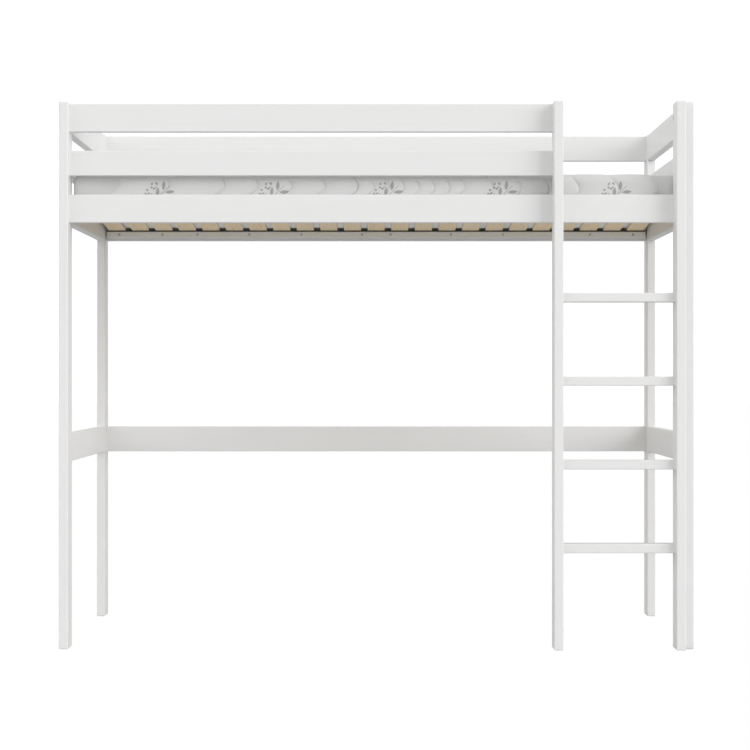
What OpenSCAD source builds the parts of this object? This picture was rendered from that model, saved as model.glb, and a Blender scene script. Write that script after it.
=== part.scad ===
// Loft bed for one mattress. Two end panels of wide board posts carry the bed rails high above
// the floor, guard rails run round the mattress, and a straight ladder stands inside the right
// front post. Units are millimetres: +X along the bed, +Y to the back, +Z up, with the origin
// at floor level in the middle of the bed's outline.

/* [Mattress] */
// Length of the mattress
mattress_l = 2000; // [1600:50:2200]
// Width of the mattress
mattress_w = 900; // [700:50:1400]
// Thickness of the mattress
mattress_t = 118; // [80:2:140]
// Radius of the mattress's upright corners
mattress_corner_r = 20; // [10:1:80]
// Radius of the mattress's long top and bottom edges
mattress_edge_r = 28; // [10:1:38]
// Free space between the mattress and the boards on each side
mattress_gap = 5; // [2:1:15]

/* [Frame] */
// Height of the posts and the ladder
frame_h = 1785; // [1700:5:2000]
// Thickness of every frame board
board_t = 30; // [26:1:36]
// Width of the post and stile boards
post_w = 92; // [80:1:110]
// Width of the bed rails, the top guard rails and the mid rails
rail_h = 92; // [80:1:100]
// Width of the lower guard rail and the end rails level with it
lower_guard_h = 82; // [70:1:90]
// Rounding of the board edges
edge_r = 3; // [1:0.5:5]

/* [Levels] */
// How far the top rails sit below the post tops
top_drop = 3; // [0:1:10]
// Open gap between one guard rail and the next
guard_gap = 61.5; // [50:0.5:75]
// Height of the bottom edge of the mid rails
mid_rail_z = 610; // [400:10:900]

/* [Ladder] */
// Clear width between the stiles
ladder_w = 367.5; // [300:0.5:450]
// How far the stiles stand in front of the posts
ladder_proud = 31; // [10:1:40]
// Number of rungs
rung_n = 4; // [3:1:4]
// Height of the first rung's underside
rung_first_z = 313; // [200:1:330]
// Distance from one rung to the next
rung_pitch = 273; // [180:1:280]
// Depth of a rung from front to back
rung_d = 61; // [50:1:61]

/* [Slatted base] */
// Width of a slat
slat_w = 63; // [50:1:72]
// Thickness of a slat
slat_t = 8; // [8:0.5:12]
// How much higher a slat's middle is than its ends
slat_crown = 24; // [5:1:30]
// Free length beyond the first and last slat, up to the end panels
slat_end_gap = 12.5; // [4:0.5:20]
// Height of the support battens
batten_h = 24; // [20:1:30]
// Thickness of the support battens
batten_t = 25; // [20:1:35]
// How far the battens sit above the bed rails' bottom edge
batten_rise = 9; // [0:1:15]
// Gap between a batten's end and the end panel
batten_gap = 6.5; // [2:0.5:15]
// Thickness of the rubber strip where the slats end
holder_t = 2; // [2:0.5:6]
// Height of the rubber blocks between the slats, above the strip
holder_block_h = 3; // [2.5:0.5:7.5]

/* [Hardware] */
// Thread diameter of the bed bolts
bolt_d = 6; // [5:1:8]
// Head diameter of the bed bolts
bolt_head_d = 12; // [10:0.5:13]
// Diameter of the barrel nuts
nut_d = 10; // [10:0.5:12]
// Diameter of the dowels in the end panels
dowel_d = 8; // [6:1:10]
// Diameter of the dowels in the rungs
rung_dowel_d = 10; // [8:1:12]
// Head diameter of the batten screws
screw_head_d = 9.5; // [7:0.5:10]

/* [Hidden] */
$fn = 48;
eps = 0.5; // how far a cut runs past the face that it opens
fit_gap = 0.1; // diameter that a hole has over the piece in it
slat_n = 23;

LACQUER = [0.91, 0.91, 0.90];
PALE_WOOD = [0.80, 0.68, 0.50];
RUBBER = [0.10, 0.10, 0.10];
STEEL = [0.70, 0.71, 0.72];
FABRIC = [0.86, 0.86, 0.86];

// Along X
inner_l = mattress_l + 2 * mattress_gap;
x_in = inner_l / 2; // inner face of an end panel
x_out = x_in + board_t; // outer face of an end panel
x_panel = x_in + board_t / 2; // middle of an end panel's thickness
stile_right_x = x_in - board_t;
stile_left_x = stile_right_x - ladder_w - board_t;
guard_front_l = stile_left_x + x_in;

// Along Y
inner_w = mattress_w + 2 * mattress_gap;
setback = (post_w - board_t) / 2; // from the posts' outer edge to the rails' outer face
total_d = inner_w + 2 * board_t + 2 * setback + ladder_proud;
y_ladder = -total_d / 2; // front edge of the stiles
y_post_front = y_ladder + ladder_proud;
y_post_back = total_d / 2 - post_w;
y_rail_front = y_post_front + setback;
y_rail_back = y_post_back + setback;
y_bed_front = y_rail_front + board_t; // the rails' faces towards the mattress
y_bed_back = y_rail_back;
y_mattress = (y_bed_front + y_bed_back) / 2;
y_panel_in = y_post_front + post_w;
end_rail_l = y_post_back - y_panel_in;
y_axis_front = y_rail_front + board_t / 2; // bolt axes in the front rails
y_axis_back = y_rail_back + board_t / 2;

// Along Z
z_top = frame_h - top_drop - rail_h;
z_lower = z_top - guard_gap - lower_guard_h;
z_bed = z_lower - guard_gap - rail_h;
z_batten = z_bed + batten_rise;
z_holder = z_batten + batten_h;
z_slat = z_holder + holder_t; // underside of a slat's end
z_axis_top = z_top + rail_h / 2;
z_axis_lower = z_lower + lower_guard_h / 2;
z_axis_bed = z_bed + rail_h / 2;
z_axis_mid = mid_rail_z + rail_h / 2;

// Slats, bent to an arc about an axis along X
slat_l = mattress_w;
slat_r = slat_l * slat_l / (8 * slat_crown) + slat_crown / 2; // radius of the underside
slat_a = asin(slat_l / 2 / slat_r); // half the angle of the arc
z_arch = z_slat + slat_crown - slat_r; // height of the axis
slat_pitch = (inner_l - 2 * slat_end_gap - slat_w) / (slat_n - 1);
batten_l = inner_l - 2 * batten_gap;
slot_gap = 0.3; // play of a slat between two rubber blocks

// Mattress, bent over the slats to arcs about the same axis
mattress_rest_gap = 0.3; // keeps the loose mattress just off the slats
mattress_low_r = slat_r + slat_t + mattress_rest_gap;
mattress_top_r = mattress_low_r + mattress_t;

// Bed bolts with barrel nuts. Each entry: x of the face that the head sinks into, direction
// of the bolt along X, y and z of its axis.
bolt_spread = 22; // half the distance between the two bolts of a bed rail end
bolt_bore_d = bolt_d + 0.6;
counterbore_d = bolt_head_d + 1;
head_sink = 6;
head_h = 5;
socket_af = 5; // hexagon socket, across flats
socket_depth = 3;
nut_inset = 35; // from a rail's end to its barrel nut
nut_l = 20;
bolt_past_nut = 8;
bolt_l = board_t - head_sink + nut_inset + bolt_past_nut;
bed_bolt_list = concat(
    [for (s = [-1, 1], y = [y_axis_front, y_axis_back], dz = [-1, 1])
        [s * x_out, -s, y, z_axis_bed + dz * bolt_spread]],
    [for (s = [-1, 1], z = [z_axis_top, z_axis_mid]) [s * x_out, -s, y_axis_back, z]],
    [for (z = [z_axis_top, z_axis_lower]) [-x_out, 1, y_axis_front, z]]
);
ladder_bolt_list = [for (z = [z_axis_top, z_axis_lower])
    [stile_left_x + board_t, -1, y_axis_front, z]];
all_bolts = concat(bed_bolt_list, ladder_bolt_list);

// Tie bolt from the right stile into the right front post, with a sleeve nut
tie_bore_d = 18;
tie_sink = 14;
sleeve_d = 9;
sleeve_l = 20;
sleeve_head_d = 13;
sleeve_head_h = 2;
tie_l = 2 * board_t - tie_sink - 10;

// Dowels
dowel_l = 60;
dowel_spread = 24;
rung_dowel_l = 45;
rung_dowel_in_stile = 18;
rung_dowel_spread = 16;
y_rung = y_post_front;

// Screws
batten_screw_at = [0.053, 0.278, 0.471, 0.664, 0.794, 0.954]; // parts of half a batten's length
batten_screw_z = z_batten + 13;
batten_screw_d = 4;
batten_screw_l = 42;
ladder_screw_d = 5;
ladder_screw_l = 60;
ladder_screw_head_d = 9.5;
screw_sink = 0.5;
screw_tip = 6;

function two_digits(i) = str(i < 10 ? "0" : "", i);
function slat_name(i) = str("slat_", two_digits(i));
function rung_name(i) = str("rung_", i);

LEVELS = ["top", "upper", "bed", "mid"];
SIDES = ["left", "right"];

// ---- Shapes ----

module rounded_rect(a, b, r) {
    translate([r, 0]) square([a - 2 * r, b]);
    translate([0, r]) square([a, b - 2 * r]);
    for (x = [r, a - r], y = [r, b - r]) translate([x, y]) circle(r);
}

// Bars from the origin along X, Y and Z, with their long edges rounded
module bar_x(size, r = edge_r) {
    rotate([90, 0, 90]) linear_extrude(size.x) rounded_rect(size.y, size.z, r);
}

module bar_y(size, r = edge_r) {
    translate([0, size.y, 0]) rotate([90, 0, 0])
        linear_extrude(size.y) rounded_rect(size.x, size.z, r);
}

module bar_z(size, r = edge_r) {
    linear_extrude(size.z) rounded_rect(size.x, size.y, r);
}

// A board with its ends rounded as well as its long edges
module board(size) {
    intersection() {
        bar_x(size);
        bar_y(size);
        bar_z(size);
    }
}

// ---- Hardware, each along +Z from the face that it enters ----

module bolt_bore(sink = head_sink, d = counterbore_d, l = bolt_l) {
    translate([0, 0, -eps]) cylinder(h = sink + eps, d = d);
    cylinder(h = sink + l + 1, d = bolt_bore_d);
}

module bolt(sink = head_sink, l = bolt_l) {
    translate([0, 0, sink]) difference() {
        union() {
            translate([0, 0, -head_h]) cylinder(h = head_h, d = bolt_head_d);
            cylinder(h = l, d = bolt_d);
        }
        translate([0, 0, -head_h - eps])
            cylinder(h = socket_depth + eps, d = socket_af / cos(30), $fn = 6);
    }
}

module barrel_nut() {
    difference() {
        translate([0, 0, -nut_l / 2]) cylinder(h = nut_l, d = nut_d);
        rotate([0, 90, 0]) cylinder(h = nut_d + 2, d = bolt_d + fit_gap, center = true);
    }
}

module nut_bore() {
    translate([0, 0, -nut_l / 2])
        cylinder(h = nut_l / 2 + board_t / 2 + eps, d = nut_d + fit_gap);
}

module sleeve() {
    difference() {
        union() {
            cylinder(h = sleeve_head_h, d = sleeve_head_d);
            cylinder(h = sleeve_l, d = sleeve_d);
        }
        translate([0, 0, -eps]) cylinder(h = sleeve_l + 2 * eps, d = bolt_d + fit_gap);
    }
}

module sleeve_bore() {
    translate([0, 0, -eps]) cylinder(h = sleeve_head_h + eps, d = sleeve_head_d + fit_gap);
    cylinder(h = sleeve_l + 1, d = sleeve_d + fit_gap);
}

module screw(l, d, head_d) {
    cone_h = (head_d - d) / 2;
    recess = head_d * 0.42;
    translate([0, 0, screw_sink]) difference() {
        union() {
            cylinder(h = cone_h, d1 = head_d, d2 = d);
            cylinder(h = l - screw_tip, d = d);
            translate([0, 0, l - screw_tip]) cylinder(h = screw_tip, d1 = d, d2 = d / 4);
        }
        for (a = [0, 90]) rotate(a)
            translate([-recess / 2, -recess / 8, -eps]) cube([recess, recess / 4, 1.2 + eps]);
    }
}

module screw_bore(l, d, head_d) {
    cone_h = (head_d - d) / 2;
    translate([0, 0, -eps]) cylinder(h = screw_sink + eps, d = head_d + fit_gap);
    translate([0, 0, screw_sink]) cylinder(h = cone_h, d1 = head_d + fit_gap, d2 = d + fit_gap);
    cylinder(h = l + 1, d = d + fit_gap);
}

// Puts a bolt's shapes at an entry of the bolt lists
module at_bolt(b) {
    translate([b[0], b[2], b[3]]) rotate([0, 90 * b[1], 0]) children();
}

// Puts a barrel nut's shapes at an entry, opening towards the back
module at_nut(b) {
    translate([b[0] + b[1] * (board_t + nut_inset), b[2], b[3]]) rotate([-90, 0, 0]) children();
}

module at_tie() {
    translate([stile_right_x, y_axis_front, z_axis_top]) rotate([0, 90, 0]) children();
}

module at_sleeve() {
    translate([x_out, y_axis_front, z_axis_top]) rotate([0, -90, 0]) children();
}

// Dowels that join the end rails to the posts: x side, rail level and post
module at_panel_dowels(sides, posts, levels) {
    for (s = sides, p = posts, z = levels, dz = [-1, 1])
        translate([s * x_panel, p < 0 ? y_panel_in : y_post_back, z + dz * dowel_spread])
            rotate([90, 0, 0]) children();
}

module at_rung_dowels(stiles, rungs) {
    for (s = stiles, i = rungs, dy = [-1, 1])
        translate([s < 0 ? stile_left_x + board_t - rung_dowel_in_stile
                         : stile_right_x + rung_dowel_in_stile,
                   y_rung + rung_d / 2 + dy * rung_dowel_spread,
                   rung_z(i) + board_t / 2])
            rotate([0, -90 * s, 0]) children();
}

module at_batten_screws(front) {
    face = front ? y_bed_front + batten_t : y_bed_back - batten_t;
    for (at = batten_screw_at, s = [-1, 1])
        translate([s * at * batten_l / 2, face, batten_screw_z]) rotate([front ? 90 : -90, 0, 0]) children();
}

module at_ladder_screws() {
    for (x = [stile_left_x, stile_right_x])
        translate([x + board_t / 2, y_bed_front, z_axis_bed]) rotate([90, 0, 0]) children();
}

module dowel_bore() {
    cylinder(h = dowel_l + 1, d = dowel_d + fit_gap, center = true);
}

module rung_dowel_bore() {
    translate([0, 0, -eps]) cylinder(h = rung_dowel_l + 2 * eps, d = rung_dowel_d + fit_gap);
}

function rung_z(i) = rung_first_z + (i - 1) * rung_pitch;
panel_levels = [z_axis_top, z_axis_lower, z_axis_bed, z_axis_mid];

// ---- End panels ----

module post(side, front) {
    y0 = front ? y_post_front : y_post_back;
    axis = front ? y_axis_front : y_axis_back;
    color(LACQUER) difference() {
        translate([side < 0 ? -x_out : x_in, y0, 0]) board([board_t, post_w, frame_h]);
        for (b = all_bolts) if (b[0] == side * x_out && b[2] == axis) at_bolt(b) bolt_bore();
        at_panel_dowels([side], [front ? -1 : 1], panel_levels) dowel_bore();
        if (front && side > 0) {
            at_tie() bolt_bore(tie_sink, tie_bore_d, tie_l);
            at_sleeve() sleeve_bore();
        }
    }
}

module end_rail(side, level) {
    z0 = [z_top, z_lower, z_bed, mid_rail_z][level];
    h = level == 1 ? lower_guard_h : rail_h;
    color(LACQUER) difference() {
        translate([side < 0 ? -x_out : x_in, y_panel_in, z0]) bar_y([board_t, end_rail_l, h]);
        at_panel_dowels([side], [-1, 1], [panel_levels[level]]) dowel_bore();
    }
}

// ---- Long rails ----

module long_rail(x0, l, y0, z0, h) {
    axis = y0 + board_t / 2;
    color(LACQUER) difference() {
        translate([x0, y0, z0]) bar_x([l, board_t, h]);
        for (b = all_bolts) if (b[2] == axis && b[3] > z0 && b[3] < z0 + h) {
            at_bolt(b) bolt_bore();
            at_nut(b) nut_bore();
        }
        children();
    }
}

module side_rail_front() {
    long_rail(-x_in, inner_l, y_rail_front, z_bed, rail_h) {
        at_batten_screws(true) screw_bore(batten_screw_l, batten_screw_d, screw_head_d);
        at_ladder_screws() screw_bore(ladder_screw_l, ladder_screw_d, ladder_screw_head_d);
    }
}

module side_rail_back() {
    long_rail(-x_in, inner_l, y_rail_back, z_bed, rail_h)
        at_batten_screws(false) screw_bore(batten_screw_l, batten_screw_d, screw_head_d);
}

module guard_rail_front_top() {
    long_rail(-x_in, guard_front_l, y_rail_front, z_top, rail_h);
}

module guard_rail_front_lower() {
    long_rail(-x_in, guard_front_l, y_rail_front, z_lower, lower_guard_h);
}

module guard_rail_back() {
    long_rail(-x_in, inner_l, y_rail_back, z_top, rail_h);
}

module mid_rail_back() {
    long_rail(-x_in, inner_l, y_rail_back, mid_rail_z, rail_h);
}

// ---- Ladder ----

module stile(x0) {
    right = x0 == stile_right_x;
    color(LACQUER) difference() {
        translate([x0, y_ladder, 0]) board([board_t, post_w, frame_h]);
        // notch that the front bed rail passes through
        translate([x0 - eps, y_rail_front, z_bed])
            cube([board_t + 2 * eps, post_w, rail_h]);
        at_rung_dowels([right ? 1 : -1], [1 : rung_n]) rung_dowel_bore();
        at_ladder_screws() screw_bore(ladder_screw_l, ladder_screw_d, ladder_screw_head_d);
        if (right) at_tie() bolt_bore(tie_sink, tie_bore_d, tie_l);
        else for (b = ladder_bolt_list) at_bolt(b) bolt_bore();
    }
}

module rung(i) {
    color(LACQUER) difference() {
        translate([stile_left_x + board_t, y_rung, rung_z(i)]) bar_x([ladder_w, rung_d, board_t]);
        at_rung_dowels([-1, 1], [i]) rung_dowel_bore();
    }
}

// ---- Slatted base ----

module batten(front) {
    y0 = front ? y_bed_front : y_bed_back - batten_t;
    color(LACQUER) difference() {
        translate([-batten_l / 2, y0, z_batten]) bar_x([batten_l, batten_t, batten_h]);
        at_batten_screws(front) screw_bore(batten_screw_l, batten_screw_d, screw_head_d);
    }
}

function slat_x(i) = (i - (slat_n + 1) / 2) * slat_pitch;

// Height of the slats' underside over the strip, at that distance from the bed rail
function seat_h(y) = z_arch + sqrt(pow(slat_r, 2) - pow(inner_w / 2 - y, 2)) - z_holder;

// A length of holder along X, its top as steep as the slat ends
module holder_bar(l, above = 0) {
    rotate([90, 0, 90]) linear_extrude(l) polygon([
        [0, 0], [batten_t, 0], [batten_t, seat_h(batten_t) + above],
        [mattress_gap, holder_t + above], [0, holder_t + above]]);
}

module slat_holder(front) {
    block_w = slat_pitch - slat_w - 2 * slot_gap;
    color(RUBBER) translate([0, front ? y_bed_front : y_bed_back, z_holder])
        mirror([0, front ? 0 : 1, 0]) {
            translate([-batten_l / 2, 0, 0]) holder_bar(batten_l);
            for (i = [1 : slat_n - 1])
                translate([slat_x(i) + (slat_pitch - block_w) / 2, 0, 0])
                    holder_bar(block_w, holder_block_h);
        }
}

module slat(i) {
    slat_edge_r = 1.5;
    color(PALE_WOOD) translate([slat_x(i) + slat_w / 2, y_mattress, z_arch])
        rotate([0, -90, 0]) rotate(-slat_a) rotate_extrude(angle = 2 * slat_a, $fn = 256)
            translate([slat_r, 0]) rounded_rect(slat_t, slat_w, slat_edge_r, $fn = 24);
}

// Points of an arc between two angles from straight up; the first one is left out where
// another arc already ends there
function arc(r, a0, a1, n, centre = [0, 0], first = 1) =
    [for (i = [first : n]) let (a = a0 + (a1 - a0) * i / n) centre + r * [sin(a), cos(a)]];

// Cross-section of the mattress, with the arcs' axis at the origin
function mattress_outline() = let (
    e = mattress_edge_r,
    y = mattress_w / 2 - e,
    top = sqrt(pow(mattress_top_r - e, 2) - y * y),
    low = sqrt(pow(mattress_low_r + e, 2) - y * y),
    top_a = atan(y / top),
    low_a = atan(y / low)
) concat(
    arc(mattress_top_r, -top_a, top_a, 36),
    arc(e, top_a, 90, 8, [y, top]),
    arc(e, 90, 180 + low_a, 8, [y, low], 0),
    arc(mattress_low_r, low_a, -low_a, 36),
    arc(e, 180 - low_a, 270, 8, [-y, low]),
    arc(e, 270, 360 - top_a, 8, [-y, top], 0)
);

module mattress() {
    color(FABRIC) intersection() {
        translate([-mattress_l / 2, y_mattress, z_arch]) rotate([90, 0, 90])
            linear_extrude(mattress_l) polygon(mattress_outline());
        translate([-mattress_l / 2, y_mattress - mattress_w / 2, 0])
            bar_z([mattress_l, mattress_w, frame_h], mattress_corner_r);
    }
}

// ---- Fasteners, as groups of separate solids ----

module bed_bolts() {
    color(STEEL) for (b = bed_bolt_list) at_bolt(b) bolt();
}

module ladder_bolts() {
    color(STEEL) {
        for (b = ladder_bolt_list) at_bolt(b) bolt();
        at_tie() bolt(tie_sink, tie_l);
    }
}

module barrel_nuts() {
    color(STEEL) for (b = all_bolts) at_nut(b) barrel_nut();
}

module sleeve_nut() {
    color(STEEL) at_sleeve() sleeve();
}

module panel_dowels() {
    color(PALE_WOOD) at_panel_dowels([-1, 1], [-1, 1], panel_levels)
        cylinder(h = dowel_l, d = dowel_d, center = true);
}

module rung_dowels() {
    color(PALE_WOOD) at_rung_dowels([-1, 1], [1 : rung_n])
        cylinder(h = rung_dowel_l, d = rung_dowel_d);
}

module batten_screws() {
    color(STEEL) for (front = [true, false])
        at_batten_screws(front) screw(batten_screw_l, batten_screw_d, screw_head_d);
}

module ladder_screws() {
    color(STEEL) at_ladder_screws() screw(ladder_screw_l, ladder_screw_d, ladder_screw_head_d);
}

// ---- Nodes ----

post(-1, true);  // post_front_left
post(1, true);  // post_front_right
post(-1, false);  // post_rear_left
post(1, false);  // post_rear_right
for (s = [0, 1], l = [0 : 3])
    end_rail(2 * s - 1, l);
side_rail_front();
side_rail_back();
guard_rail_front_top();
guard_rail_front_lower();
guard_rail_back();
mid_rail_back();
stile(stile_left_x);  // ladder_stile_left
stile(stile_right_x);  // ladder_stile_right
for (i = [1 : rung_n])
    rung(i);
batten(true);  // batten_front
batten(false);  // batten_back
slat_holder(true);  // slat_holder_front
slat_holder(false);  // slat_holder_back
for (i = [1 : slat_n])
    slat(i);
mattress();
bed_bolts();
ladder_bolts();
barrel_nuts();
sleeve_nut();
panel_dowels();
rung_dowels();
batten_screws();
ladder_screws();
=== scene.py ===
"""The loft bed's looks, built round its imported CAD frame: lacquered boards, pale slats in rubber
holders, zinc hardware and a quilted mattress, in a plain white studio. Metres throughout."""

import math

import bpy
import numpy as np
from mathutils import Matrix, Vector


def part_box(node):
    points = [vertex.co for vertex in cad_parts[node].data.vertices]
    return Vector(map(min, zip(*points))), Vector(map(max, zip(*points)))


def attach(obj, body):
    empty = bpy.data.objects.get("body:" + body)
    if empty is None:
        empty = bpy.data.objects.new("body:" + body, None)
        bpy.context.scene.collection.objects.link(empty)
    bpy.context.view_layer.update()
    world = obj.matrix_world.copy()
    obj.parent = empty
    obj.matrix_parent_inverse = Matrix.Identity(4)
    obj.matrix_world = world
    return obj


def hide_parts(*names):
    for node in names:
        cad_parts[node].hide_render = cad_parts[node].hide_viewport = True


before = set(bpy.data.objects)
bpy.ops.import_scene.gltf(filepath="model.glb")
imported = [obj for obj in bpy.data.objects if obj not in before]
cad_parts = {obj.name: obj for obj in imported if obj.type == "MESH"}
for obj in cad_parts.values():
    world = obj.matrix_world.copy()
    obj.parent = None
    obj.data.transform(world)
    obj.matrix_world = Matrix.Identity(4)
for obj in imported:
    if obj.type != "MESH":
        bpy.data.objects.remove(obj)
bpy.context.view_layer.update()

# ---- Where things are, from the frame ----

MATTRESS_LOW, MATTRESS_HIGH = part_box("mattress")
POST_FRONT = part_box("post_front_left")[0].y
SLAT_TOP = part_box("slat_01")[1].z
CROWN = 0.024  # how much higher the slats' middles are than their ends

SLATS = [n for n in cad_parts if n.startswith("slat_") and n[5:].isdigit()]
STANDING = [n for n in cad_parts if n.startswith(("post_", "ladder_stile_"))]
ACROSS = [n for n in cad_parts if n.startswith("end_rail_")]
HOLDERS = ["slat_holder_front", "slat_holder_back"]
DOWELS = ["panel_dowels", "rung_dowels"]
STEEL = ["bed_bolts", "ladder_bolts", "barrel_nuts", "sleeve_nut", "batten_screws",
         "ladder_screws"]
ALONG = [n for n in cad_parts
         if n not in SLATS + STANDING + ACROSS + HOLDERS + DOWELS + STEEL + ["mattress"]]


# ---- Node helpers ----

class Shader:
    """A material with a Principled shader and short calls that add and link nodes."""

    def __init__(self, name, color, roughness, specular=0.5):
        self.material = bpy.data.materials.new(name)
        self.material.use_nodes = True
        self.tree = self.material.node_tree
        self.shader = self.tree.nodes["Principled BSDF"]
        self.shader.inputs["Base Color"].default_value = (*color, 1)
        self.shader.inputs["Roughness"].default_value = roughness
        self.shader.inputs["Specular IOR Level"].default_value = specular

    def link(self, source, target):
        self.tree.links.new(source, target)

    def node(self, kind, **settings):
        made = self.tree.nodes.new(kind)
        for key, value in settings.items():
            setattr(made, key, value)
        return made

    def put(self, target, value):
        """Gives a socket a number, a colour or another node's output."""
        if isinstance(value, bpy.types.NodeSocket):
            self.link(value, target)
        else:
            target.default_value = value

    def math(self, operation, a, b=0.0, c=0.0):
        made = self.node("ShaderNodeMath", operation=operation)
        for socket, value in zip(made.inputs, (a, b, c)):
            self.put(socket, value)
        return made.outputs[0]

    def place(self, scale=(1, 1, 1), source=None):
        """Object coordinates, or a source vector, stretched by scale."""
        made = self.node("ShaderNodeMapping")
        made.inputs["Scale"].default_value = scale
        if source is None:
            source = self.node("ShaderNodeTexCoord").outputs["Object"]
        self.link(source, made.inputs["Vector"])
        return made.outputs[0]

    def noise(self, vector, scale, detail=2.0, roughness=0.5, distortion=0.0):
        made = self.node("ShaderNodeTexNoise")
        self.link(vector, made.inputs["Vector"])
        made.inputs["Scale"].default_value = scale
        made.inputs["Detail"].default_value = detail
        made.inputs["Roughness"].default_value = roughness
        made.inputs["Distortion"].default_value = distortion
        return made.outputs["Fac"]

    def ramp(self, value, stops):
        """A colour ramp through (position, colour) stops."""
        made = self.node("ShaderNodeValToRGB")
        elements = made.color_ramp.elements
        for _ in stops[2:]:
            elements.new(0.5)
        for element, (position, color) in zip(elements, stops):
            element.position = position
            element.color = (*color, 1)
        self.put(made.inputs["Fac"], value)
        return made.outputs["Color"]

    def spread(self, value, low, high):
        """Takes 0..1 to low..high."""
        made = self.node("ShaderNodeMapRange")
        self.put(made.inputs["Value"], value)
        made.inputs["To Min"].default_value = low
        made.inputs["To Max"].default_value = high
        return made.outputs["Result"]

    def mix(self, factor, a, b):
        made = self.node("ShaderNodeMix", data_type="RGBA")
        self.put(made.inputs["Factor"], factor)
        for name, value in (("A", a), ("B", b)):
            sockets = [s for s in made.inputs if s.name == name and s.type == "RGBA"]
            self.put(sockets[0], value if isinstance(value, bpy.types.NodeSocket) else (*value, 1))
        return next(s for s in made.outputs if s.type == "RGBA")

    def bump(self, height, depth, strength=1.0):
        """Adds a relief of that height in metres on top of what the normal has so far."""
        made = self.node("ShaderNodeBump")
        made.inputs["Strength"].default_value = strength
        made.inputs["Distance"].default_value = depth
        self.link(height, made.inputs["Height"])
        normal = self.shader.inputs["Normal"]
        if normal.links:
            self.link(normal.links[0].from_socket, made.inputs["Normal"])
        self.link(made.outputs["Normal"], normal)

    def color(self, value):
        self.put(self.shader.inputs["Base Color"], value)

    def roughness(self, value):
        self.put(self.shader.inputs["Roughness"], value)


def stretched(axis, along, across):
    """Mapping scales for grain that runs along one axis."""
    return tuple(along if i == axis else across for i in range(3))


# ---- Materials ----

LACQUER = (0.80, 0.80, 0.795)
SLAT_MARGIN = 0.01  # from a slat's edge back to where its own tone starts


def lacquered_wood(axis):
    """White satin lacquer on planed pine: the grain shows only as a faint relief and tint."""
    m = Shader("lacquered_wood_" + "xyz"[axis], LACQUER, 0.40)
    rings = m.noise(m.place(stretched(axis, 0.9, 16)), 3.0, 3, 0.55, 0.6)
    pores = m.noise(m.place(stretched(axis, 14, 420)), 1.0, 2, 0.6)
    film = m.noise(m.place(), 90.0, 2, 0.5)
    cloud = m.noise(m.place(stretched(axis, 1.2, 5)), 1.5, 2)
    tint = m.ramp(rings, [(0.30, (0.790, 0.789, 0.784)), (0.52, LACQUER),
                          (0.75, (0.806, 0.806, 0.804))])
    m.color(m.mix(m.spread(cloud, 0.0, 0.35), tint, (0.795, 0.794, 0.788)))
    sheen = m.math("ADD", m.math("MULTIPLY", cloud, 0.6), m.math("MULTIPLY", film, 0.4))
    m.roughness(m.spread(sheen, 0.30, 0.50))
    m.bump(rings, 0.0003, 0.14)
    m.bump(pores, 0.00010, 0.16)
    m.bump(film, 0.00006, 0.14)
    return m.material


def slat_wood():
    """Raw planed pine slats, grain along Y, each slat a little different in tone."""
    m = Shader("slat_wood", (0.80, 0.62, 0.40), 0.62, 0.35)
    split = m.node("ShaderNodeSeparateXYZ")
    m.link(m.node("ShaderNodeTexCoord").outputs["Object"], split.inputs[0])
    first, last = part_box(SLATS[0]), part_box(SLATS[-1])
    pitch = (last[0].x - first[0].x) / (len(SLATS) - 1)
    along = m.math("SUBTRACT", split.outputs["X"], first[0].x - SLAT_MARGIN)
    which = m.math("FLOOR", m.math("DIVIDE", along, pitch))
    pick = m.node("ShaderNodeTexWhiteNoise", noise_dimensions="1D")
    m.link(which, pick.inputs["W"])
    shifted = m.node("ShaderNodeCombineXYZ")
    m.link(split.outputs["X"], shifted.inputs["X"])
    m.link(m.math("ADD", split.outputs["Y"], m.math("MULTIPLY", pick.outputs["Value"], 7.0)),
           shifted.inputs["Y"])
    m.link(split.outputs["Z"], shifted.inputs["Z"])
    rings = m.noise(m.place(stretched(1, 0.8, 26), source=shifted.outputs[0]), 3.2, 4, 0.55, 1.2)
    fibre = m.noise(m.place(stretched(1, 10, 700), source=shifted.outputs[0]), 1.0, 2, 0.6)
    grain = m.ramp(rings, [(0.28, (0.82, 0.61, 0.37)), (0.45, (0.97, 0.78, 0.51)),
                           (0.60, (0.98, 0.83, 0.57)), (0.80, (0.90, 0.69, 0.43))])
    fine = m.mix(m.spread(fibre, 0.0, 0.20), grain, (0.68, 0.50, 0.30))
    m.color(m.mix(m.spread(pick.outputs["Value"], 0.0, 0.28), fine, (0.93, 0.80, 0.60)))
    m.roughness(m.spread(fibre, 0.52, 0.72))
    m.bump(rings, 0.0003, 0.35)
    m.bump(fibre, 0.00015, 0.5)
    return m.material


def holder_rubber():
    m = Shader("holder_rubber", (0.028, 0.026, 0.024), 0.68, 0.4)
    grit = m.noise(m.place(), 900.0, 2, 0.6)
    bloom = m.noise(m.place(), 14.0, 3, 0.55)
    m.color(m.ramp(bloom, [(0.3, (0.022, 0.020, 0.018)), (0.7, (0.040, 0.037, 0.034))]))
    m.roughness(m.spread(bloom, 0.58, 0.80))
    m.bump(grit, 0.0002, 0.4)
    return m.material


def zinc_steel():
    m = Shader("zinc_steel", (0.60, 0.61, 0.62), 0.32)
    m.shader.inputs["Metallic"].default_value = 1.0
    flakes = m.noise(m.place(), 260.0, 2, 0.6)
    brushed = m.noise(m.place((60, 60, 900)), 1.0, 2, 0.6)
    m.color(m.ramp(flakes, [(0.3, (0.43, 0.44, 0.455)), (0.7, (0.59, 0.59, 0.58))]))
    m.roughness(m.spread(brushed, 0.24, 0.44))
    m.bump(brushed, 0.00005, 0.4)
    return m.material


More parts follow.
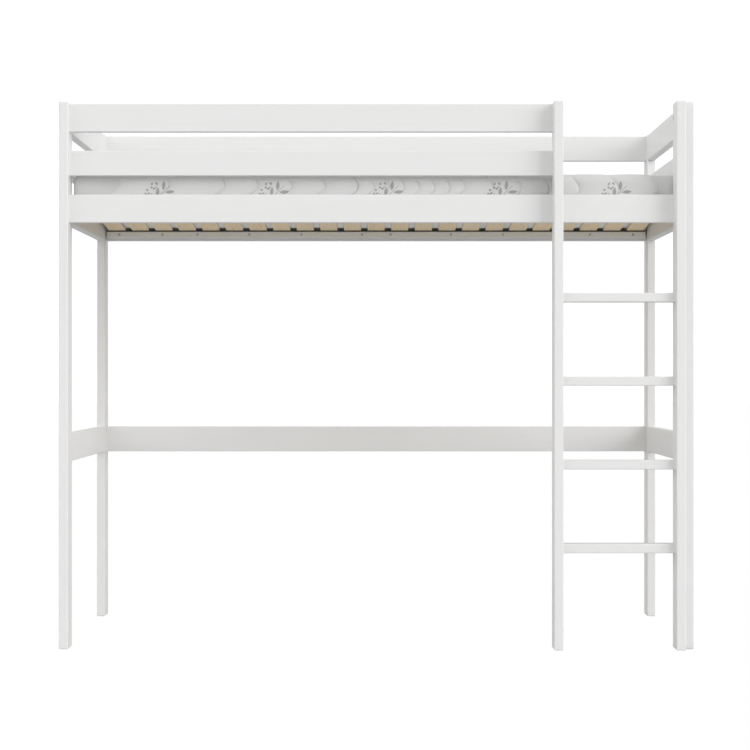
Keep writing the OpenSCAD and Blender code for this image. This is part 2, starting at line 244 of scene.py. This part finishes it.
def dowel_wood():
    m = Shader("dowel_wood", (0.62, 0.45, 0.27), 0.6, 0.35)
    grain = m.noise(m.place((30, 30, 300)), 4.0, 3, 0.6)
    m.color(m.ramp(grain, [(0.3, (0.50, 0.34, 0.19)), (0.7, (0.68, 0.51, 0.32))]))
    m.bump(grain, 0.0002, 0.5)
    return m.material


# ---- Mattress ----

# The cover is quilted in zones: (how many lines, distance between them), from the left end.
QUILT_START = -0.850
QUILT_ZONES = [(1, 0.166), (1, 0.184), (4, 0.110), (7, 0.050), (4, 0.094), (2, 0.132)]
WAVE_HALF = 0.075  # height of one bend of a quilting line
WAVE_CENTRE_Z = 1.5115  # where a line is furthest to the right, at the middle of the bed
WAVE_SWING, WAVE_SWING_ABOVE = 0.034, 0.019  # half of how far left it goes, below and above
WAVE_DRIFT = 0.014  # how much lower that place is for each metre to the right
FADE_LEFT, FADE_RIGHT = 0.130, 0.050  # the lines straighten out towards the ends over these
END_QUILT_GAPS = 8
SEAM_DEPTH, SEAM_WIDTH = 0.0018, 0.0036
PUFF = 0.0062  # how far the padding stands up between the widest lines
FULL_PUFF_GAP = 0.12  # lines closer than this hold the padding down
PUFF_POWER = 0.7  # below 1, the padding's tops are flatter and its sides steeper
UNDERSIDE_PUFF = 0.4
EDGE_CALM, EDGE_CALM_REACH = 0.80, 0.050  # the cover is drawn tight over its long edges
CORNER_R, EDGE_R = 0.020, 0.028
HALFWAY_ROUND = 0.707  # a normal's part along an axis where a rounded edge is at its middle
COVER_INSET = 0.0003  # from the CAD solid's faces to the crests of the padding
END_TURN = 0.35  # the ends' quilting starts where a normal has this much X, and is full at twice
END_COLUMNS = [0, 0.004, 0.009, 0.015, 0.022, 0.032, 0.046]  # mesh columns, from each end
CELLS_PER_GAP, COLUMN_PULL = 14, 0.8
CELLS_PER_END_GAP, END_COLUMN_PULL = 12, 0.5
CELL_Z = 0.0042
END_CLOTH_SHIFT = 3.0  # keeps the ends' cloth coordinates apart from the sides'


def quilt_lines():
    """Places of the quilting lines along the bed."""
    lines = [QUILT_START]
    for count, step in QUILT_ZONES:
        for _ in range(count):
            lines.append(lines[-1] + step)
    return np.array(lines)


def quilt_height(s, lines):
    """Padding height above the stitched lines, for places s, and how deep in a seam each is."""
    right = np.clip(np.searchsorted(lines, s), 1, len(lines) - 1)
    low, high = lines[right - 1], lines[right]
    gap = high - low
    t = np.clip((s - low) / gap, 0, 1)
    near = np.minimum(np.abs(s - low), np.abs(high - s))
    seam = np.exp(-(near / SEAM_WIDTH) ** 2)
    crown = PUFF * np.minimum(gap / FULL_PUFF_GAP, 1) * ((4 * t * (1 - t)) ** PUFF_POWER - 1)
    return crown - SEAM_DEPTH * seam, seam


def seam_spaced(lines, cells, pull):
    """Places of mesh lines, drawn together at each quilting line to keep the stitches crisp."""
    t = np.arange(cells) / cells
    eased = t - pull * np.sin(2 * math.pi * t) / (2 * math.pi)
    places = [low + (high - low) * eased for low, high in zip(lines[:-1], lines[1:])]
    return np.append(np.concatenate(places), lines[-1])


def lattice_surface(counts):
    """Vertices, as lattice indices, and quads of a box's surface with that many cells each way."""
    nx, ny, nz = counts
    index, places, quads = {}, [], []

    def at(i, j, k):
        key = (i, j, k)
        if key not in index:
            index[key] = len(places)
            places.append(key)
        return index[key]

    for i in range(nx):
        for j in range(ny):
            quads.append((at(i, j, nz), at(i + 1, j, nz), at(i + 1, j + 1, nz), at(i, j + 1, nz)))
            quads.append((at(i, j, 0), at(i, j + 1, 0), at(i + 1, j + 1, 0), at(i + 1, j, 0)))
        for k in range(nz):
            quads.append((at(i, 0, k), at(i + 1, 0, k), at(i + 1, 0, k + 1), at(i, 0, k + 1)))
            quads.append((at(i, ny, k), at(i, ny, k + 1), at(i + 1, ny, k + 1), at(i + 1, ny, k)))
    for j in range(ny):
        for k in range(nz):
            quads.append((at(0, j, k), at(0, j, k + 1), at(0, j + 1, k + 1), at(0, j + 1, k)))
            quads.append((at(nx, j, k), at(nx, j + 1, k), at(nx, j + 1, k + 1), at(nx, j, k + 1)))
    return np.array(places), quads


def mattress_mesh():
    """A foam mattress in a quilted knitted cover, bent over the slats: rounded edges, full sides,
    stitched waves."""
    low, high = np.array(MATTRESS_LOW), np.array(MATTRESS_HIGH)
    low[2] = SLAT_TOP  # the slats' crown lies above the mattress's lowest edge
    size = high - low
    centre = (low + high) / 2
    half = size / 2 - COVER_INSET
    radius = size[1] ** 2 / (8 * CROWN) + CROWN / 2 + size[2] / 2
    front_drop = radius - math.sqrt(radius ** 2 - (size[1] / 2) ** 2)
    lines = quilt_lines()
    end_lines = np.linspace(-half[1], half[1], END_QUILT_GAPS + 1)
    ends = np.array(END_COLUMNS)
    columns = np.concatenate([-half[0] + ends, seam_spaced(lines, CELLS_PER_GAP, COLUMN_PULL),
                              (half[0] - ends)[::-1]])
    levels = np.linspace(-half[2], half[2], round(size[2] / CELL_Z) + 1)
    grid = [columns, seam_spaced(end_lines, CELLS_PER_END_GAP, END_COLUMN_PULL), levels]
    places, quads = lattice_surface([len(g) - 1 for g in grid])
    box = np.stack([g[places[:, i]] for i, g in enumerate(grid)], axis=1)

    # a box with rounded edges: a core, and an ellipsoid's rounding about it
    radii = np.array([CORNER_R, CORNER_R, EDGE_R])
    core = half - radii
    inner = np.clip(box, -core, core)
    out = (box - inner) / radii
    length = np.linalg.norm(out, axis=1, keepdims=True)
    direction = out / np.maximum(length, 1e-9)
    point = inner + direction * radii
    normal = direction / radii
    normal /= np.linalg.norm(normal, axis=1, keepdims=True)

    # distance round the cover from the front's bottom edge, so that lines run over the edges
    top, bottom = normal[:, 2] > HALFWAY_ROUND, normal[:, 2] < -HALFWAY_ROUND
    front = normal[:, 1] < 0
    z_up = point[:, 2] + half[2]
    y_in = point[:, 1] + half[1]
    around = np.where(top, size[2] + y_in, z_up)
    around = np.where(bottom, -y_in, around)
    around = np.where(~top & ~bottom & ~front, 2 * size[2] + size[1] - z_up, around)

    # mesh columns are the quilting lines' own, so the wave bends lines and padding together
    bend = WAVE_CENTRE_Z - WAVE_DRIFT * point[:, 0] - low[2] + front_drop
    fade = np.minimum((point[:, 0] + half[0]) / FADE_LEFT, (half[0] - point[:, 0]) / FADE_RIGHT)
    fade = np.clip(fade, 0, 1)
    fade = fade * fade * (3 - 2 * fade)
    turn = (around - bend) / WAVE_HALF
    wave = np.where(turn > 0, WAVE_SWING_ABOVE, WAVE_SWING) * (np.cos(math.pi * turn) - 1) * fade
    long_height, long_seam = quilt_height(point[:, 0], lines)
    end_height, end_seam = quilt_height(point[:, 1], end_lines)
    end_share = np.clip((np.abs(normal[:, 0]) - END_TURN) / END_TURN, 0, 1)
    height = long_height * (1 - end_share) + end_height * end_share
    seam = long_seam * (1 - end_share) + end_seam * end_share
    to_edge = np.clip((half[1] - np.abs(point[:, 1])) / EDGE_CALM_REACH, 0, 1)
    round_edge = np.clip(np.abs(normal[:, 2]) / HALFWAY_ROUND, 0, 1) ** 2
    edge = np.where(top | bottom, 1 - to_edge, round_edge)
    height = height * (1 - EDGE_CALM * edge * (1 - end_share))
    height = np.where(bottom, height * UNDERSIDE_PUFF, height)
    point[:, 0] += wave
    moved = point + normal * height[:, None] + centre

    # the whole mattress follows the arch of the slats
    across = moved[:, 1] - centre[1]
    moved[:, 2] -= radius - np.sqrt(radius ** 2 - across ** 2)

    mesh = bpy.data.meshes.new("mattress_cover")
    mesh.from_pydata(moved.tolist(), [], quads)
    mesh.polygons.foreach_set("use_smooth", [True] * len(quads))
    # cloth coordinates: along the bed, and round it, with the seams' depth, which the shader uses
    # to paint shade into the stitched lines
    along = np.where(end_share > 0.5, moved[:, 1] + END_CLOTH_SHIFT, moved[:, 0])
    cloth = np.stack([along, around, seam], axis=1).astype(np.float32)
    mesh.attributes.new("cloth", "FLOAT_VECTOR", "POINT").data.foreach_set("vector", cloth.ravel())
    mesh.update()
    return mesh


# The cover's print, in cloth coordinates
PRINT_PITCH = (0.376, 0.290)
PRINT_MIDDLE = (0.042, 0.050)  # of one sprig
PRINT_STAGGER = 0.188
PRINT_TILT = math.radians(45)
STEM_REACH, STEM_HALF_WIDTH = 0.0427, 0.0009
LEAF_PITCH, LEAF_OFFSET, LEAF_LEAN = 0.0285, 0.0145, math.radians(40)
LEAF_HALF_LENGTH, LEAF_HALF_WIDTH = 0.0160, 0.0056
BERRY_MIDDLE, BERRY_REACH = (-0.006, 0.038), (0.030, 0.012)
BERRIES_PER_METRE, BERRY_SIZE = 84.0, 0.34
KNIT_PITCH, KNIT_SLANT = 0.0064, 0.8


def turned(m, a, b, angle):
    """Coordinates a and b turned by an angle."""
    cos, sin = math.cos(angle), math.sin(angle)
    return (m.math("ADD", m.math("MULTIPLY", a, cos), m.math("MULTIPLY", b, sin)),
            m.math("SUBTRACT", m.math("MULTIPLY", b, cos), m.math("MULTIPLY", a, sin)))


def centred_cells(m, value, pitch, middle):
    """Which cell of a repeat a value is in, and how far it is from that cell's middle."""
    shifted = m.math("SUBTRACT", value, middle - pitch / 2)
    cell = m.math("FLOOR", m.math("DIVIDE", shifted, pitch))
    return cell, m.math("SUBTRACT", m.math("FLOORED_MODULO", shifted, pitch), pitch / 2)


def sprig_print(m, u, v):
    """A printed twig with leaves and berries on a slant, repeated over the cover in staggered
    rows: 1 in the print and 0 outside."""
    row, b = centred_cells(m, v, PRINT_PITCH[1], PRINT_MIDDLE[1])
    odd = m.math("FLOORED_MODULO", row, 2.0)
    _, a = centred_cells(m, m.math("ADD", u, m.math("MULTIPLY", odd, PRINT_STAGGER)),
                         PRINT_PITCH[0], PRINT_MIDDLE[0])
    p, q = turned(m, a, b, PRINT_TILT)
    far = m.math("ABSOLUTE", q)
    within = m.math("LESS_THAN", m.math("ABSOLUTE", p), STEM_REACH)
    stem = m.math("LESS_THAN", far, STEM_HALF_WIDTH)
    _, leaf_p = centred_cells(m, p, LEAF_PITCH, 0.0)
    major, minor = turned(m, leaf_p, m.math("SUBTRACT", far, LEAF_OFFSET), LEAF_LEAN)
    major = m.math("DIVIDE", major, LEAF_HALF_LENGTH)
    narrowing = m.math("SUBTRACT", 1.0, m.math("MULTIPLY", major, major))
    width = m.math("MULTIPLY", narrowing, LEAF_HALF_WIDTH)
    leaf = m.math("LESS_THAN", m.math("ABSOLUTE", minor), width)

    place = m.node("ShaderNodeCombineXYZ")
    m.put(place.inputs["X"], p)
    m.put(place.inputs["Y"], q)
    berries = m.node("ShaderNodeTexVoronoi", voronoi_dimensions="2D")
    m.link(place.outputs[0], berries.inputs["Vector"])
    berries.inputs["Scale"].default_value = BERRIES_PER_METRE
    dot = m.math("LESS_THAN", berries.outputs["Distance"], BERRY_SIZE)
    ring = [m.math("DIVIDE", m.math("SUBTRACT", value, middle), reach)
            for value, middle, reach in zip((p, q), BERRY_MIDDLE, BERRY_REACH)]
    cloud = m.math("LESS_THAN", m.math("ADD", *[m.math("MULTIPLY", r, r) for r in ring]), 1.0)
    twig = m.math("MULTIPLY", within, m.math("MAXIMUM", stem, leaf))
    return m.math("MAXIMUM", twig, m.math("MULTIPLY", dot, cloud))


def mattress_fabric():
    """Off-white double knit with a slanting rib, with painted shade in the stitched lines, and a
    grey print.
    The underside is plain white cloth without print; its white is also raised as painted light
    against the shade under the bed."""
    m = Shader("mattress_fabric", (0.66, 0.67, 0.67), 0.88, 0.25)
    m.shader.inputs["Sheen Weight"].default_value = 0.25
    m.shader.inputs["Sheen Roughness"].default_value = 0.55
    cloth = m.node("ShaderNodeAttribute", attribute_name="cloth").outputs["Vector"]
    split = m.node("ShaderNodeSeparateXYZ")
    m.link(cloth, split.inputs[0])
    u, v, seam = split.outputs
    flat = m.node("ShaderNodeCombineXYZ")
    m.link(u, flat.inputs["X"])
    m.link(v, flat.inputs["Y"])
    knit = 2 * math.pi / KNIT_PITCH
    slant = m.math("ADD", m.math("MULTIPLY", u, KNIT_SLANT), v)
    rib = m.math("SINE", m.math("MULTIPLY", slant, knit))
    across = m.math("SUBTRACT", u, m.math("MULTIPLY", v, KNIT_SLANT))
    cross = m.math("SINE", m.math("MULTIPLY", across, knit * KNIT_SLANT))
    stitch = m.math("MULTIPLY_ADD", m.math("ADD", rib, m.math("MULTIPLY", cross, 0.6)), 0.3, 0.5)
    yarn = m.noise(m.place(source=flat.outputs[0]), 900.0, 2, 0.6)
    cloud = m.noise(m.place(source=flat.outputs[0]), 9.0, 3, 0.55)
    base = m.ramp(stitch, [(0.1, (0.56, 0.56, 0.555)), (0.6, (0.68, 0.68, 0.675)),
                           (0.95, (0.75, 0.75, 0.745))])
    base = m.mix(m.spread(cloud, 0.0, 0.30), base, (0.65, 0.65, 0.645))
    # painted shade: the cover is mixed towards a darker grey where it dips into a seam
    base = m.mix(m.math("MULTIPLY", seam, 0.06), base, (0.52, 0.52, 0.515))
    # the underside is plain cloth without print; its near-white tone is partly painted light,
    # raised to lift the shade under the bed
    underside = m.math("LESS_THAN", v, 0.0)
    base = m.mix(underside, base, (0.91, 0.935, 0.96))
    shown = m.math("MULTIPLY", sprig_print(m, u, v), m.math("SUBTRACT", 1.0, underside))
    ink = m.math("MULTIPLY", shown, m.spread(yarn, 0.52, 0.82))
    m.color(m.mix(ink, base, (0.21, 0.215, 0.215)))
    m.roughness(m.spread(yarn, 0.80, 0.95))
    m.bump(stitch, 0.0006, 0.45)
    m.bump(yarn, 0.0002, 0.4)
    return m.material


def add(name, mesh, material, body):
    made = bpy.data.objects.new(name, mesh)
    bpy.context.scene.collection.objects.link(made)
    made.data.materials.append(material)
    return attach(made, body)


def build_mattress():
    fabric = mattress_fabric()
    cover = add("mattress_cover", mattress_mesh(), fabric, "mattress_pad")
    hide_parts("mattress")


# ---- Finishes for the CAD pieces ----

def finish_cad():
    groups = [(STANDING, lacquered_wood(2)), (ACROSS, lacquered_wood(1)),
              (ALONG, lacquered_wood(0)), (SLATS, slat_wood()), (HOLDERS, holder_rubber()),
              (STEEL, zinc_steel()), (DOWELS, dowel_wood())]
    for names, material in groups:
        for name in names:
            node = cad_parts[name]
            node.data.materials.clear()
            node.data.materials.append(material)


# ---- Studio ----

CAMERA_BACK = 6.851  # from the posts' front face
CAMERA_X, CAMERA_Z = -0.0043, 0.894
LENS, SENSOR = 100.9, 36.0
FLOOR_TONE = (0.50, 0.50, 0.50)
FLOOR_HALF, FLOOR_Z = 60.0, -0.0005
# What the studio's walls, ceiling and side walls give, against a full 1.0
SKY_LOW, SKY_HIGH, SKY_SIDES = 0.57, 0.66, 0.62
# Soft lights: (name, direction towards it, what it gives a face turned straight to it, its angle)
LIGHTS = [("key", (0.70, -0.62, 0.30), 0.46, 0.80),
          ("fill", (-0.66, -0.62, 0.40), 0.16, 1.0)]
WHITE = 1.07  # what the camera sees of walls and floor
FLOOR_SHADOW = 0.10  # how much of the floor's own shading the camera sees


def only_for_camera(tree, seen, real, output):
    """Links output to what the camera sees of a stage surface, and to what lights the object."""
    choose = tree.nodes.new("ShaderNodeMixShader")
    path = tree.nodes.new("ShaderNodeLightPath")
    tree.links.new(path.outputs["Is Camera Ray"], choose.inputs[0])
    tree.links.new(real, choose.inputs[1])
    tree.links.new(seen, choose.inputs[2])
    tree.links.new(choose.outputs[0], output)


def build_studio():
    world = bpy.data.worlds.new("studio")
    bpy.context.scene.world = world
    world.use_nodes = True
    tree = world.node_tree
    sky = tree.nodes["Background"]
    ramp = tree.nodes.new("ShaderNodeMapRange")
    split = tree.nodes.new("ShaderNodeSeparateXYZ")
    tree.links.new(tree.nodes.new("ShaderNodeTexCoord").outputs["Generated"], split.inputs[0])
    tree.links.new(split.outputs["Z"], ramp.inputs["Value"])
    ramp.inputs["To Min"].default_value = SKY_LOW
    ramp.inputs["To Max"].default_value = SKY_HIGH
    sides = tree.nodes.new("ShaderNodeMath")
    sides.operation = "POWER"
    tree.links.new(split.outputs["X"], sides.inputs[0])
    sides.inputs[1].default_value = 2.0
    total = tree.nodes.new("ShaderNodeMath")
    total.operation = "MULTIPLY_ADD"
    tree.links.new(sides.outputs[0], total.inputs[0])
    total.inputs[1].default_value = SKY_SIDES
    tree.links.new(ramp.outputs["Result"], total.inputs[2])
    tree.links.new(total.outputs[0], sky.inputs["Strength"])
    sky.inputs["Color"].default_value = (1, 1, 1, 1)
    backdrop = tree.nodes.new("ShaderNodeBackground")
    backdrop.inputs["Color"].default_value = (1, 1, 1, 1)
    backdrop.inputs["Strength"].default_value = WHITE
    only_for_camera(tree, backdrop.outputs[0], sky.outputs[0],
                    tree.nodes["World Output"].inputs["Surface"])

    for name, towards, share, angle in LIGHTS:
        light = bpy.data.objects.new(name, bpy.data.lights.new(name, "SUN"))
        light.data.energy = share * math.pi
        light.data.angle = angle
        light.rotation_euler = Vector(towards).to_track_quat("Z", "Y").to_euler()
        bpy.context.scene.collection.objects.link(light)

    half = FLOOR_HALF
    mesh = bpy.data.meshes.new("floor")
    mesh.from_pydata([(-half, -half, 0), (half, -half, 0), (half, half, 0), (-half, half, 0)], [],
                     [(0, 1, 2, 3)])
    floor = bpy.data.objects.new("floor", mesh)
    floor.location.z = FLOOR_Z
    bpy.context.scene.collection.objects.link(floor)
    m = Shader("pale_floor", FLOOR_TONE, 0.9, 0.1)
    glow = m.node("ShaderNodeEmission")
    glow.inputs["Strength"].default_value = WHITE
    seen = m.node("ShaderNodeMixShader")
    seen.inputs[0].default_value = FLOOR_SHADOW
    m.link(glow.outputs[0], seen.inputs[1])
    m.link(m.shader.outputs[0], seen.inputs[2])
    only_for_camera(m.tree, seen.outputs[0], m.shader.outputs[0],
                    m.tree.nodes["Material Output"].inputs["Surface"])
    floor.data.materials.append(m.material)


def build_camera():
    data = bpy.data.cameras.new("camera")
    data.lens = LENS
    data.sensor_width = SENSOR
    camera = bpy.data.objects.new("camera", data)
    camera.location = (CAMERA_X, POST_FRONT - CAMERA_BACK, CAMERA_Z)
    camera.rotation_euler = (math.radians(90), 0, 0)
    bpy.context.scene.collection.objects.link(camera)
    bpy.context.scene.camera = camera
    bpy.context.scene.view_settings.view_transform = "Standard"


finish_cad()
build_mattress()
build_studio()
build_camera()
